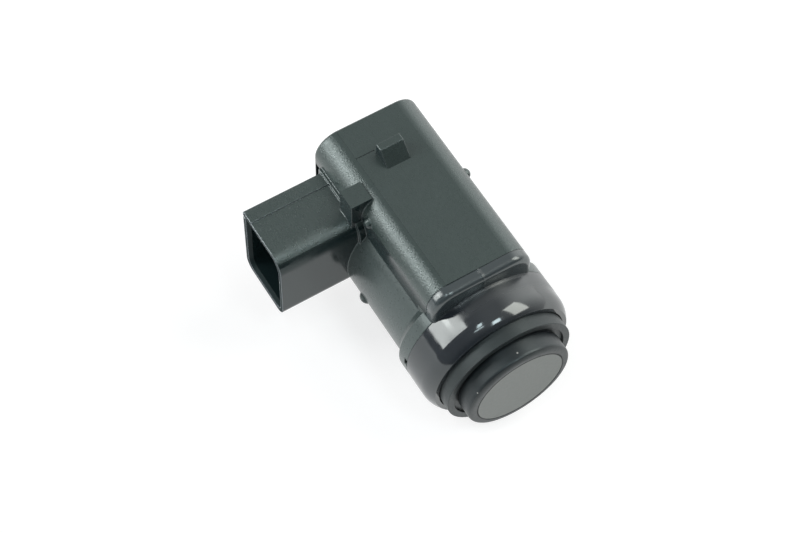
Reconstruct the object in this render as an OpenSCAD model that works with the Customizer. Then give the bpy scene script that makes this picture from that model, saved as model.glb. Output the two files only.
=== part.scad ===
// Ultrasonic parking sensor with a side connector.
// +Z is the flat top, the sensing face looks towards -Y, the connector towards -X.
// The origin is on the sensing axis, in the plane of the seal ring's front face.

/* [Sensing head] */
// Diameter of the round sensing face
face_d = 15; // [12:0.5:18]
// Depth of the membrane pot, face to rear rim
pot_l = 9; // [8:0.25:12]
// Thickness of the membrane at the face
membrane_t = 0.8; // [0.5:0.1:1.2]
// Wall of the membrane pot
pot_wall = 1; // [0.6:0.1:1.4]
// Width across the flats of the pot's oblong chamber
pot_flats = 9; // [7:0.25:10.5]
// Diameter of the piezo disc
piezo_d = 7; // [5:0.5:8]
// Thickness of the piezo disc
piezo_t = 0.5; // [0.3:0.1:1]
// Thickness of the sound absorber behind the piezo disc
absorber_t = 3; // [1.5:0.5:4]
// Rubber wall between the pot and the outside of the sleeve
sleeve_wall = 1.3; // [1:0.1:2.5]
// How far the face stands ahead of the seal ring
sleeve_proud = 3; // [2:0.1:4]
// Rounding of the sleeve's front edge
sleeve_edge_r = 0.8; // [0.3:0.1:1.2]
// Step in the sleeve's outside behind the seal ring's front face
sleeve_relief = 0.3; // [0.2:0.05:0.5]
// Open groove between the sleeve and the seal ring
groove_w = 0.8; // [0.3:0.1:1]
// Depth of that groove
groove_d = 0.5; // [0.3:0.1:1.2]
// Wall of the seal ring's front rim
seal_wall = 1.1; // [0.7:0.1:1.6]
// Rounding of the seal ring's front edges
seal_edge_r = 0.1; // [0.05:0.05:0.4]
// Thickness of the seal ring's clamped flange
seal_flange_t = 1.5; // [1:0.1:2.2]
// Thickness of the plate that carries the transducer's leads
carrier_t = 1.5; // [1:0.1:2.5]

/* [Collar] */
// Open line between the seal ring and the collar's nose
nose_gap = 0.15; // [0.1:0.05:0.6]
// Width of the flat at the collar's nose
nose_flat = 0.7; // [0.2:0.05:1.2]
// Crown radius of the collar's nose
crown_r = 4; // [3:0.25:8]
// Depth of the crown along the axis
crown_l = 2.4; // [2:0.1:3]
// Radius of the long curve that follows the crown
sweep_r = 120; // [60:5:200]
// Distance from the collar's rear end forward to the top of the long curve
sweep_fore = 2; // [0:0.25:3]
// Distance from the seal ring's front face back to the collar's nose
collar_back = 2.15; // [1.5:0.05:2.5]
// Length of the collar
collar_l = 6.5; // [6:0.05:10]
// Wall of the collar
collar_wall = 1.15; // [0.9:0.05:1.4]
// Wall at the collar's nose, along the axis
nose_wall = 1.5; // [1.2:0.1:2.4]
// Height of the snap bead under the collar
bead_h = 0.3; // [0.15:0.05:0.4]
// Thickness of the lip that covers the front of the box
lip_t = 1.9; // [1.4:0.05:3]
// Part of the lip that lies over the collar
lip_over = 0.4; // [0.3:0.05:1.2]
// Rounding of the lip's front edge
lip_edge_r = 0.95; // [0.3:0.05:1.3]
// Sideways place of the parting mark on the lip
mark_x = 0; // [-3:0.1:3]
// Width of the parting mark
mark_w = 0.3; // [0.1:0.05:0.6]

/* [Housing] */
// Length from the seal ring's front face to the rear
rear_y = 41.2; // [39:0.1:60]
// Step from the flange down to the barrel
flange_step = 0.95; // [0.4:0.05:1.5]
// Straight part of the flange behind the collar
flange_l = 2.2; // [1:0.1:4]
// Length of the cone that joins the flange and the barrel
flare_l = 1.2; // [0.6:0.1:3]
// Distance from the front of the connector shroud back to the barrel's end
barrel_under = 1; // [0.5:0.1:2]
// Wall of the housing
wall = 1.6; // [1.2:0.1:2.2]
// Height of the flat top above the axis
box_top = 15.15; // [14:0.05:18]
// Width of the box
box_w = 17; // [15:0.1:19]
// Radius of the box's long top edges
box_edge_r = 3.4; // [2:0.1:5]
// Height of the panel's edge on the top, on the connector's side
panel_h = 0.06; // [0.04:0.01:0.2]
// Depth of the box below the axis, behind the barrel
box_bottom = 7.4; // [6:0.1:8]
// Radius of the box's long lower edges
box_low_r = 1.5; // [0.8:0.1:2.5]
// Extra width on the connector's side, behind the block
side_pad = 0.6; // [0.2:0.1:1]
// Rounding of the rear edges
rear_edge_r = 0.6; // [0.2:0.1:1]

/* [Connector] */
// Distance from the rear of the housing to the rear of the shroud
shroud_back = 2.8; // [1:0.1:4]
// Width of the shroud along the housing
shroud_w = 11.1; // [10:0.1:14]
// Height of the shroud
shroud_h = 14.8; // [13:0.1:18]
// Height of the shroud's top above the axis
shroud_top = 10.4; // [9:0.1:11]
// Reach of the shroud's mouth from the axis
shroud_reach = 22.9; // [19:0.1:28]
// Wall of the shroud
shroud_wall = 1; // [0.8:0.1:1.4]
// Depth of the socket behind the mouth
socket_l = 11.4; // [9.5:0.1:13]
// Width of the lead-in chamfer inside the mouth
lead_in_w = 0.35; // [0.2:0.05:0.6]
// Depth of the lead-in chamfer
lead_in_l = 0.65; // [0.3:0.05:1.5]
// Radius of the shroud's lower corners
shroud_low_r = 1.8; // [1:0.1:2.5]
// Radius of the shroud's front top corner
shroud_corner = 2.7; // [1:0.1:3.5]
// Width of the key rib along the shroud's rear top edge
rib_w = 2; // [1:0.1:3]
// Height of the key rib
rib_h = 0.2; // [0.1:0.05:0.6]
// Thickness and rim of the flange round the shroud's root
root_rim = 0.5; // [0.2:0.1:0.8]
// Depth of the pocket behind the shroud's root
pocket_d = 0.9; // [0.4:0.1:1]
// Side of the square terminal pins
pin_w = 0.64; // [0.5:0.02:0.8]
// Spacing of the terminal pins
pin_pitch = 2.54; // [2:0.02:3]
// Free length of the pins in the socket
pin_reach = 6.6; // [5:0.1:7]
// Taper on each side of a pin's tip
pin_taper = 0.16; // [0.08:0.02:0.2]
// Size of the small notches in the mouth's rim
rim_notch = 0.45; // [0.2:0.05:0.6]

/* [Mounting features] */
// Width of the latch ramp on the top
ramp_w = 3.95; // [3:0.05:6]
// Length of the latch ramp
ramp_l = 3.5; // [2.5:0.1:5]
// Height of the latch ramp
ramp_h = 2.2; // [1:0.1:3]
// Flat land behind the crest of the ramp
ramp_land = 1.3; // [0.5:0.1:2]
// Distance from the rear of the housing to the back of the ramp
ramp_back = 6.5; // [4:0.1:10]
// Sideways place of the ramp
ramp_x = -0.2; // [-2:0.1:2]
// Length of the square block on the connector's side
block_l = 3.4; // [2:0.1:5]
// How far the block stands out beyond the side pad
block_out = 1.2; // [0.5:0.1:2]
// Width of the block's top
block_w = 3.5; // [2.5:0.1:5]
// Diameter of the guide nubs
nub_d = 1.9; // [1.4:0.1:2.5]
// How far the guide nubs stand proud
nub_out = 0.65; // [0.3:0.05:0.9]

/* [Electronics] */
// Thickness of the circuit board
board_t = 1.2; // [0.8:0.1:1.6]
// Height of the board's upper side above the axis
board_z = 2.3; // [1.5:0.1:3]
// Gap between the board and the housing's side walls
board_gap = 0.25; // [0.1:0.05:0.5]
// Diameter of the transducer's leads
lead_d = 0.5; // [0.3:0.05:0.8]
// Side of the transformer's square core
core_w = 8.2; // [7:0.1:8.6]
// Height of the transformer's core
core_h = 6.2; // [5:0.1:8]
// Thickness of the rear cover
cover_t = 1.35; // [0.8:0.05:2]
// How deep the rear cover lies in the housing
cover_recess = 0.5; // [0.2:0.1:1]

/* [Hidden] */

$fn = 96;
eps = 0.01;
// Gap left between pieces that seat on one another
fit = 0.05;
// Gap between pieces that only pass one another
clear = 0.25;

// Sensing head, from the axis outwards
pot_r = face_d / 2;
sleeve_r = pot_r + sleeve_wall;
seal_in_r = sleeve_r + groove_w;
seal_r = seal_in_r + seal_wall;
face_y = -sleeve_proud;
pot_end = face_y + pot_l;

// Collar, from the seal ring outwards
nose_in_r = seal_r + nose_gap;
nose_out_r = nose_in_r + nose_flat;
collar_y = collar_back;
collar_end = collar_y + collar_l;
crown_y = collar_y + crown_l;
sweep_y = collar_end - sweep_fore;
// The crown and the long curve meet at this slope
crown_turn = asin((sweep_y - crown_y) / sweep_r);
crown_mid_y = sweep_y - (sweep_r - crown_r) * sin(crown_turn);
nose_turn = asin((crown_mid_y - collar_y) / crown_r);
crown_mid_r = nose_out_r - crown_r * cos(nose_turn);
sweep_mid_r = crown_mid_r - (sweep_r - crown_r) * cos(crown_turn);
collar_r = sweep_mid_r + sqrt(sweep_r * sweep_r - sweep_fore * sweep_fore);
collar_in_r = collar_r - collar_wall;

// Clamped stack behind the collar's nose
seal_flange_y = collar_y + nose_wall + fit;
seal_end = seal_flange_y + seal_flange_t;
spigot_y = seal_end + fit;
spigot_r = collar_in_r - fit;
spigot_in_r = sleeve_r + 1;
sleeve_end = pot_end + 1.5;
carrier_y = sleeve_end + fit;
carrier_end = carrier_y + carrier_t;
shoulder_y = carrier_end + fit;
bead_y = (spigot_y + collar_end) / 2;
parting_h = 0.06;

// Housing
flange_y = collar_end + fit;
flange_end = flange_y + flange_l;
barrel_r = collar_r - flange_step;
lip_y = collar_end - lip_over;
box_y = lip_y + lip_t + fit;
cavity_y = max(box_y + wall, shoulder_y + wall);
half_w = box_w / 2;
pad_w = half_w + side_pad;
cavity_w = half_w - wall;
flat_w = half_w - box_edge_r;
panel_w = flat_w + 0.2;
cover_y = rear_y - cover_recess - cover_t;
cavity_end = cover_y - fit;

// Connector
shroud_y1 = rear_y - shroud_back;
shroud_y0 = shroud_y1 - shroud_w;
shroud_mid = (shroud_y0 + shroud_y1) / 2;
socket_x = -shroud_reach + socket_l;
barrel_end = shroud_y0 + barrel_under;
pin_bend = pin_w * 0.8;
pin_z = board_z + fit + pin_bend + pin_w / 2;
pin_tip = socket_x - pin_reach;
pin_turn = -4.2;
pin_tail = 1;
slot_w = 2 * pin_pitch + 2.6;
slot_h = 2.8;
slot_step = 0.5;
slot_step_l = 1.6;

// Block and ramp
block_y0 = shroud_y0 + 0.8;
block_x = -pad_w - block_out;
ramp_y1 = rear_y - ramp_back;
ramp_y0 = ramp_y1 - ramp_l;
nub_y = shroud_y0 - 1;
nub_z = box_top - box_edge_r + 0.3;
low_nub_y = shroud_y0 - 4.2;
low_nub_turn = 16;
low_nub_d = nub_d + 0.5;

// Board and what stands on it
board_half = cavity_w - board_gap;
board_y0 = cavity_y + clear;
board_y1 = cavity_end - 1.2;
rail_w = 1;
rail_h = 1.4;
rail_y0 = barrel_end;
lead_z = board_z + lead_d / 2 + fit;
storage_d = 4;
storage_x = -board_half + storage_d / 2 + 0.3;
signal_x = storage_x + storage_d / 2 + 0.1 + clear + lead_d / 2;
ground_x = pot_flats / 2 + 0.7;
// The sleeve's rear opening lets the outer lead pass
sleeve_back_r = norm([ground_x, lead_z]) + lead_d / 2 + clear;
lead_end = board_y0 + 2.8;
chip_l = 8.9;
chip_w = 7.5;
chip_h = 2.3;
chip_pitch = 1.27;
chip_y = board_y0 + 9.2;
core_x = 1.9;
core_y = shroud_mid;
core_skin = 0.7;
post_r = 1.4;
bobbin_wall = 0.4;
row_y = chip_y + chip_l / 2 + 1.4;

// A profile of radius against length, turned about the sensing axis
module turned() {
    rotate([-90, 0, 0])
        rotate_extrude()
            children();
}

// Rectangle between two corners
module span(from, to) {
    translate(from)
        square(to - from);
}

// Box between two corners
module block(from, to) {
    translate(from)
        cube(to - from);
}

// Waste that rounds an outer corner; the material lies on the side away from "way"
module edge_waste(corner, r, way) {
    middle = corner - way * r;
    difference() {
        translate(middle + way * (r + eps) / 2)
            square(r + eps, center = true);
        translate(middle)
            circle(r);
    }
}

// Depth of the box's edge against its length, with rounded ends
module edge_profile(depth, y0, y1, front_r, rear_r) {
    difference() {
        span([0, y0], [depth, y1]);
        if (front_r > 0)
            edge_waste([depth, y0], front_r, [1, -1]);
        if (rear_r > 0)
            edge_waste([depth, y1], rear_r, [1, 1]);
    }
}

// Right half of a box with round long edges, from the middle plane out to w
module box_half(w, r, y0, y1, front_r = 0, rear_r = 0) {
    low_z = -box_bottom + box_low_r;
    top_corner = [w - r, 0, box_top - r];
    low_corner = [w - box_low_r, 0, low_z];
    translate(top_corner)
        rotate([-90, 0, 0])
            rotate([0, 0, -90])
                rotate_extrude(angle = 90)
                    edge_profile(r, y0, y1, front_r, rear_r);
    translate(low_corner)
        rotate([-90, 0, 0])
            rotate_extrude(angle = 90)
                edge_profile(box_low_r, y0, y1, front_r, rear_r);
    translate(top_corner)
        rotate([0, -90, 0])
            linear_extrude(w - r)
                edge_profile(r, y0, y1, front_r, rear_r);
    translate([0, 0, low_z])
        rotate([0, 90, 0])
            linear_extrude(w - box_low_r)
                edge_profile(box_low_r, y0, y1, front_r, rear_r);
    translate([w - r, 0, low_z])
        linear_extrude(box_top - r - low_z)
            edge_profile(r, y0, y1, front_r, rear_r);
    block([0, y0, low_z], [w - r, y1, box_top - r]);
}

// Section of the box, drawn in by an inset: x across, y up
module box_section(inset) {
    w = half_w - inset;
    top = box_top - inset;
    difference() {
        span([-w, -box_bottom + inset], [w, top]);
        for (side = [-1, 1])
            edge_waste([side * w, top], box_edge_r - inset, [side, 1]);
    }
}

// Prism with the box's section between two places along the housing
module box_prism(inset, y0, y1) {
    translate([0, y1, 0])
        rotate([90, 0, 0])
            linear_extrude(y1 - y0)
                box_section(inset);
}

// Section of the pot's chamber: round, with two flats that shape the beam
module chamber_section(gap) {
    intersection() {
        circle(pot_r - pot_wall - gap);
        square([pot_flats - 2 * gap, face_d], center = true);
    }
}

// Slice of the chamber between two places along the axis
module chamber(y0, y1, gap = 0) {
    translate([0, y1, 0])
        rotate([90, 0, 0])
            linear_extrude(y1 - y0)
                chamber_section(gap);
}

// Round bar along the sensing axis
module rod(x, z, r, y0, y1) {
    translate([x, y0, z])
        rotate([-90, 0, 0])
            cylinder(r = r, h = y1 - y0, $fn = 32);
}

// Both leads, grown by a gap, as a tool for their holes
module lead_holes(y0, y1) {
    rod(signal_x, lead_z, lead_d / 2 + fit, y0, y1);
    rod(ground_x, lead_z, lead_d / 2 + fit, y0, y1);
}

// Outline of the shroud, seen along the pins: x is the housing's length, y its height
module shroud_outline(inset) {
    y0 = shroud_y0 + inset;
    y1 = shroud_y1 - inset;
    z0 = shroud_top - shroud_h + inset;
    z1 = shroud_top - inset;
    difference() {
        span([y0, z0], [y1, z1]);
        edge_waste([y0, z0], shroud_low_r - inset * 0.6, [-1, -1]);
        edge_waste([y1, z0], shroud_low_r - inset * 0.6, [1, -1]);
        edge_waste([y0, z1], shroud_corner - inset * 0.6, [-1, 1]);
    }
}

// Prism with the shroud's outline between two places across the housing
module shroud_prism(x0, x1, inset) {
    translate([x0, 0, 0])
        rotate([90, 0, 90])
            linear_extrude(x1 - x0)
                shroud_outline(inset);
}

// Corner of the lead-in: what a square corner has beyond the cone that rounds it
module lead_in_corner(corner, r, way) {
    x0 = -shroud_reach - eps;
    grown = r + lead_in_w + 1;
    middle = corner - way * r;
    difference() {
        translate([x0 - 1, middle.x + way.x * grown / 2, middle.y + way.y * grown / 2])
            translate([0, -grown / 2, -grown / 2])
                cube([lead_in_l + 2, grown, grown]);
        translate([-shroud_reach, middle.x, middle.y])
            rotate([0, 90, 0])
                cylinder(r1 = r + lead_in_w, r2 = r, h = lead_in_l);
        translate([x0 - 2, middle.x, middle.y])
            rotate([0, 90, 0])
                cylinder(r = r + lead_in_w, h = 2 + 2 * eps);
    }
}

// Tapered way in, just inside the shroud's mouth
module lead_in() {
    y0 = shroud_y0 + shroud_wall;
    y1 = shroud_y1 - shroud_wall;
    z0 = shroud_top - shroud_h + shroud_wall;
    z1 = shroud_top - shroud_wall;
    low_r = shroud_low_r - shroud_wall * 0.6;
    front_r = shroud_corner - shroud_wall * 0.6;
    x0 = -shroud_reach;
    x1 = -shroud_reach + lead_in_l;
    w = lead_in_w;
    difference() {
        intersection() {
            translate([0, 0, z0 - 2])
                linear_extrude(z1 - z0 + 4)
                    polygon([[x0 - 1, y0 - w], [x0, y0 - w], [x1, y0],
                             [x1, y1], [x0, y1 + w], [x0 - 1, y1 + w]]);
            translate([0, y1 + 2, 0])
                rotate([90, 0, 0])
                    linear_extrude(y1 - y0 + 4)
                        polygon([[x0 - 1, z0 - w], [x0, z0 - w], [x1, z0],
                                 [x1, z1], [x0, z1 + w], [x0 - 1, z1 + w]]);
        }
        lead_in_corner([y0, z0], low_r, [-1, -1]);
        lead_in_corner([y1, z0], low_r, [1, -1]);
        lead_in_corner([y0, z1], front_r, [-1, 1]);
    }
}

// Stepped insert that carries the pins, or its slot when grown
module terminal_block(gap) {
    half_l = slot_w / 2 + gap;
    half_h = slot_h / 2 + gap;
    step_x = socket_x + slot_step_l;
    block([socket_x, shroud_mid - half_l - slot_step, pin_z - half_h - slot_step],
          [step_x + gap, shroud_mid + half_l + slot_step, pin_z + half_h + slot_step]);
    block([step_x - eps, shroud_mid - half_l, pin_z - half_h],
          [-cavity_w - fit + gap, shroud_mid + half_l, pin_z + half_h]);
}

// Straight part of a pin, tapered at its tip
module pin_bar(grow) {
    half = pin_w / 2 + grow;
    x0 = pin_tip - grow;
    x1 = x0 + 3 * pin_taper;
    outline = [[x0, pin_taper - half], [x1, -half], [pin_turn, -half],
               [pin_turn, half], [x1, half], [x0, half - pin_taper]];
    intersection() {
        translate([0, 0, -half])
            linear_extrude(2 * half)
                polygon(outline);
        translate([0, half, 0])
            rotate([90, 0, 0])
                linear_extrude(2 * half)
                    polygon(outline);
    }
}

// Square pin that runs in from the socket and turns down into the board
module pin(y, grow = 0) {
    side = pin_w + 2 * grow;
    low = board_z - board_t - pin_tail - grow;
    translate([0, y, pin_z])
        pin_bar(grow);
    translate([pin_turn, y + side / 2, pin_z - pin_w / 2 - pin_bend])
        rotate([90, 0, 0])
            rotate_extrude(angle = 90)
                translate([pin_bend - grow, 0])
                    square(side);
    translate([pin_turn + pin_bend - grow, y - side / 2, low])
        cube([side, side, pin_z - pin_w / 2 - pin_bend - low]);
}

// All three pins, grown by a gap, as a tool for their holes
module pin_holes(gap) {
    for (i = [-1 : 1])
        pin(shroud_mid + i * pin_pitch, gap);
}

// Cavity of the housing, shrunk by a gap when it is filled
module cavity(gap = 0) {
    turned()
        span([0, cavity_y + gap], [barrel_r - wall - gap, barrel_end - wall - gap]);
    box_prism(wall + gap, cavity_y + gap, cavity_end - gap);
}

// Ledges that the board rests on
module rails(gap = 0) {
    top = board_z - board_t - fit;
    for (side = [-1, 1])
        block([side * (cavity_w - rail_w / 2) - rail_w / 2 - gap, rail_y0 - gap, top - rail_h - gap],
              [side * (cavity_w - rail_w / 2) + rail_w / 2 + gap, cavity_end, top + gap]);
}

// Rear cover, or its opening when grown
module cover_plate(gap, y0, y1) {
    box_prism(wall / 2 - gap, y0, y1);
}

// Turned part of the housing: spigot with snap bead, flange, flare and barrel
module barrel_form() {
    turned() {
        span([spigot_in_r - 1, spigot_y], [spigot_r, flange_y + 1]);
        translate([spigot_r - bead_h, bead_y])
            circle(2 * bead_h, $fn = 32);
        span([0, flange_y], [collar_r, flange_end]);
        polygon([[0, flange_end], [collar_r, flange_end],
                 [barrel_r, flange_end + flare_l], [0, flange_end + flare_l]]);
        difference() {
            span([0, flange_end], [barrel_r, barrel_end]);
            edge_waste([barrel_r, barrel_end], rear_edge_r, [1, 1]);
        }
    }
}

// Box behind the lip, wider on the connector's side behind the block
module box_form() {
    pad_r = box_edge_r + side_pad;
    pad_y = block_y0 + block_l / 2;
    box_half(half_w, box_edge_r, box_y, rear_y, 0, rear_edge_r);
    mirror([1, 0, 0]) {
        box_half(half_w, box_edge_r, box_y, pad_y);
        box_half(pad_w, pad_r, pad_y, rear_y, 0, rear_edge_r);
    }
}

// Latch ramp: rises from the front, with a flat land before its steep back
module latch_ramp() {
    translate([ramp_x + ramp_w / 2, 0, box_top])
        rotate([0, -90, 0])
            linear_extrude(ramp_w)
                polygon([[-1, ramp_y0], [0, ramp_y0], [ramp_h, ramp_y1 - ramp_land],
                         [ramp_h, ramp_y1 - 0.1], [0, ramp_y1], [-1, ramp_y1]]);
}

// Guide nubs on the box's sides and lower down on the barrel
module nubs() {
    for (side = [-1, 1]) {
        translate([side * (half_w - nub_d / 2 + nub_out), nub_y, nub_z])
            sphere(d = nub_d);
        rotate([0, side * low_nub_turn, 0])
            translate([side * (barrel_r - low_nub_d / 2 + nub_out), low_nub_y, 0])
                sphere(d = low_nub_d);
    }
}

// Panel on the top: an edge on the connector's side, running out flat on the other
module top_panel() {
    translate([0, rear_y - rear_edge_r, box_top])
        rotate([90, 0, 0])
            linear_extrude(rear_y - rear_edge_r - box_y)
                polygon([[-panel_w, -0.5], [flat_w, -0.5], [flat_w, -0.02], [-panel_w, panel_h]]);
}

// Small notches in the mouth's rim: one in the front wall, one under the key rib
module rim_notches() {
    x1 = -shroud_reach + rim_notch;
    front_z = shroud_top - shroud_h / 3;
    rib_z = shroud_top - shroud_wall;
    block([-shroud_reach - 1, shroud_y0 + rim_notch, front_z - rim_notch / 2],
          [x1, shroud_y0 + shroud_wall + 1, front_z + rim_notch / 2]);
    block([-shroud_reach - 1, shroud_y1 - rim_notch, rib_z - rim_notch / 2],
          [x1, shroud_y1 + 1, rib_z + rim_notch / 2]);
}

// Shroud with its root flange and key rib
module shroud_form() {
    shroud_prism(-shroud_reach, -cavity_w - wall, 0);
    shroud_prism(-pad_w - root_rim, -pad_w + 1, -root_rim);
    block([-shroud_reach, shroud_y1 - rib_w - 0.4, shroud_top - 1],
          [-half_w, shroud_y1 - 0.4, shroud_top + rib_h]);
}

// Moulded housing: barrel, box and connector shroud in one piece
module housing() {
    color([0.10, 0.11, 0.11])
        difference() {
            union() {
                difference() {
                    union() {
                        barrel_form();
                        box_form();
                        latch_ramp();
                        nubs();
                        shroud_form();
                        block([block_x, block_y0, shroud_top - 1],
                              [block_x + block_w, block_y0 + block_l, box_top]);
                        top_panel();
                    }
                    cavity();
                }
                rails();
            }
            // Seats of the transducer, in from the front
            turned() {
                span([0, spigot_y - 1], [spigot_in_r, shoulder_y]);
                span([0, shoulder_y - eps], [spigot_in_r - 1.5, cavity_y + eps]);
            }
            // Socket with its mouth, and the slot of the pin insert
            shroud_prism(-shroud_reach - 1, socket_x, shroud_wall);
            lead_in();
            rim_notches();
            terminal_block(fit);
            // Pocket between the shroud's root and the rear rim
            block([-pad_w - 1, shroud_y1 + root_rim, shroud_top - shroud_h],
                  [-pad_w + pocket_d, rear_y - rear_edge_r, shroud_top - root_rim]);
            // Opening of the rear cover
            cover_plate(fit, cavity_end - eps, rear_y + 1);
            // Keyway in the flange
            block([-collar_r - 1, flange_y - 1, -0.4],
                  [-collar_r + 0.8, flange_y + 0.7, 1.1]);
            // Witness line of the mould beside the ramp
            block([-panel_w, ramp_y1 + 0.3, box_top + panel_h - 0.15],
                  [ramp_x - ramp_w / 2, ramp_y1 + 0.5, box_top + 1]);
        }
}

// Plate welded into the rear opening
module rear_cover() {
    color([0.09, 0.09, 0.10])
        cover_plate(0, cover_y, cover_y + cover_t);
}

// Glossy collar that snaps over the spigot, with the lip in front of the box
module front_collar() {
    color([0.06, 0.07, 0.08])
        difference() {
            union() {
                turned() {
                    intersection() {
                        translate([crown_mid_r, crown_mid_y])
                            circle(crown_r, $fn = 180);
                        span([collar_in_r - 1, collar_y], [collar_r + 1, crown_y]);
                    }
                    intersection() {
                        translate([sweep_mid_r, sweep_y])
                            circle(sweep_r, $fn = 720);
                        span([collar_in_r - 1, crown_y], [collar_r + 1, collar_end]);
                    }
                }
                for (side = [0, 1])
                    mirror([side, 0, 0])
                        box_half(half_w, box_edge_r, lip_y, lip_y + lip_t, lip_edge_r);
                // Parting mark over the lip's front edge
                translate([mark_x + mark_w / 2, 0, box_top - box_edge_r])
                    rotate([0, -90, 0])
                        linear_extrude(mark_w)
                            edge_profile(box_edge_r + parting_h, lip_y - parting_h, lip_y + lip_t,
                                         lip_edge_r + parting_h, 0);
            }
            turned() {
                span([0, collar_y - 1], [nose_in_r, collar_end]);
                span([0, collar_y + nose_wall], [collar_in_r, collar_end + lip_t]);
                translate([spigot_r - bead_h, bead_y])
                    circle(2 * bead_h + fit, $fn = 32);
                span([0, collar_end], [collar_r + fit, collar_end + lip_t]);
            }
        }
}

// Rubber ring that seals against the bumper, with a flange clamped by the collar
module seal_ring() {
    in_r = sleeve_r - sleeve_relief + fit;
    color([0.12, 0.13, 0.13])
        turned()
            difference() {
                union() {
                    span([seal_in_r, 0], [seal_r, seal_end]);
                    span([in_r, groove_d], [seal_in_r + eps, seal_end]);
                    span([in_r, seal_flange_y], [collar_in_r - fit, seal_end]);
                }
                edge_waste([seal_r, 0], seal_edge_r, [1, -1]);
                edge_waste([seal_in_r, 0], seal_edge_r, [-1, -1]);
            }
}

// Silicone sleeve that decouples the pot from the housing
module membrane_sleeve() {
    color([0.09, 0.10, 0.11])
        turned()
            difference() {
                union() {
                    span([0, face_y], [sleeve_r, 0]);
                    span([0, -eps], [sleeve_r - sleeve_relief, sleeve_end]);
                    span([0, spigot_y], [spigot_in_r - fit, sleeve_end]);
                }
                edge_waste([sleeve_r, face_y], sleeve_edge_r, [1, -1]);
                span([0, face_y - 1], [pot_r + fit, pot_end + fit]);
                span([0, pot_end], [sleeve_back_r, sleeve_end + 1]);
            }
}

// Aluminium pot; its floor is the painted membrane
module membrane_pot() {
    color([0.50, 0.51, 0.50])
        difference() {
            turned()
                difference() {
                    span([0, face_y], [pot_r, pot_end]);
                    edge_waste([pot_r, face_y], 0.2, [1, -1]);
                }
            chamber(face_y + membrane_t, pot_end + 1);
        }
}

// Piezo ceramic disc bonded to the membrane
module piezo_disc() {
    color([0.85, 0.80, 0.62])
        rod(0, 0, piezo_d / 2, face_y + membrane_t + fit, face_y + membrane_t + fit + piezo_t);
}

// Felt that damps the sound behind the piezo disc
module absorber_disc() {
    y0 = face_y + membrane_t + piezo_t + 2 * fit;
    color([0.80, 0.80, 0.76])
        difference() {
            chamber(y0, y0 + absorber_t, fit);
            lead_holes(y0 - 1, y0 + absorber_t + 1);
        }
}

// Cast filler that closes the pot
module pot_filler() {
    y0 = face_y + membrane_t + piezo_t + absorber_t + 3 * fit;
    color([0.35, 0.20, 0.18])
        difference() {
            chamber(y0, pot_end, fit);
            lead_holes(y0 - 1, pot_end + 1);
        }
}

// Plate behind the sleeve that guides the two leads
module contact_carrier() {
    color([0.20, 0.20, 0.21])
        difference() {
            turned() {
                span([0, carrier_y], [spigot_in_r - fit, carrier_end]);
                span([0, pot_end + 2 * fit], [sleeve_back_r - fit, carrier_end]);
            }
            lead_holes(pot_end - 1, carrier_end + 1);
        }
}

// Lead from the piezo disc to the board
module signal_lead() {
    color([0.80, 0.15, 0.12])
        rod(signal_x, lead_z, lead_d / 2, face_y + membrane_t + piezo_t + 2 * fit, lead_end);
}

// Lead from the pot's rim to the board
module ground_lead() {
    color([0.12, 0.12, 0.12])
        rod(ground_x, lead_z, lead_d / 2, pot_end + fit, lead_end);
}

// Circuit board with plated holes for the pins
module circuit_board() {
    color([0.10, 0.36, 0.18])
        difference() {
            block([-board_half, board_y0, board_z - board_t], [board_half, board_y1, board_z]);
            for (i = [-1 : 1])
                translate([pin_turn + pin_bend + pin_w / 2, shroud_mid + i * pin_pitch,
                           board_z - board_t - 1])
                    cylinder(d = pin_w * sqrt(2) + 2 * fit, h = board_t + 2, $fn = 32);
        }
}

// One row of bent chip leads along the board
module chip_leads() {
    count = 7;
    foot = 0.9;
    metal = 0.2;
    rise = chip_h / 2;
    for (i = [0 : count - 1])
        translate([0, (i - (count - 1) / 2) * chip_pitch + 0.2, 0])
            rotate([90, 0, 0])
                linear_extrude(0.4)
                    polygon([[chip_w / 2 - 0.3, rise], [chip_w / 2 + 0.45, rise],
                             [chip_w / 2 + 0.45, metal], [chip_w / 2 + 0.45 + foot, metal],
                             [chip_w / 2 + 0.45 + foot, 0], [chip_w / 2 + 0.25, 0],
                             [chip_w / 2 + 0.25, rise - metal], [chip_w / 2 - 0.3, rise - metal]]);
}

// Control chip with two rows of leads
module control_chip() {
    color([0.14, 0.14, 0.15])
        translate([0, chip_y, board_z + fit]) {
            translate([-chip_w / 2, -chip_l / 2, 0.1])
                cube([chip_w, chip_l, chip_h]);
            chip_leads();
            mirror([1, 0, 0])
                chip_leads();
        }
}

// Ferrite core: a square cup with a centre post, open towards the board
module transformer_core() {
    chamber_r = core_w / 2 - core_skin;
    color([0.24, 0.23, 0.23])
        translate([core_x, core_y, board_z + fit])
            difference() {
                translate([-core_w / 2, -core_w / 2, 0])
                    cube([core_w, core_w, core_h]);
                difference() {
                    translate([0, 0, -1])
                        cylinder(r = chamber_r, h = core_h - core_skin + 1);
                    translate([0, 0, -2])
                        cylinder(r = post_r, h = core_h + 2);
                }
            }
}

// Flanged former of the winding
module transformer_bobbin() {
    low = board_z + 2 * fit;
    high = board_z + core_h - core_skin;
    rim_r = core_w / 2 - core_skin - fit;
    in_r = post_r + fit;
    color([0.75, 0.72, 0.62])
        translate([core_x, core_y, 0])
            rotate_extrude() {
                span([in_r, low], [in_r + bobbin_wall, high]);
                span([in_r, low], [rim_r, low + bobbin_wall]);
                span([in_r, high - bobbin_wall], [rim_r, high]);
            }
}

// Copper winding between the former's flanges
module transformer_winding() {
    low = board_z + 3 * fit + bobbin_wall;
    high = board_z + core_h - core_skin - fit - bobbin_wall;
    color([0.72, 0.42, 0.20])
        translate([core_x, core_y, 0])
            rotate_extrude()
                span([post_r + 2 * fit + bobbin_wall, low], [core_w / 2 - core_skin - 4 * fit, high]);
}

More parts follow.
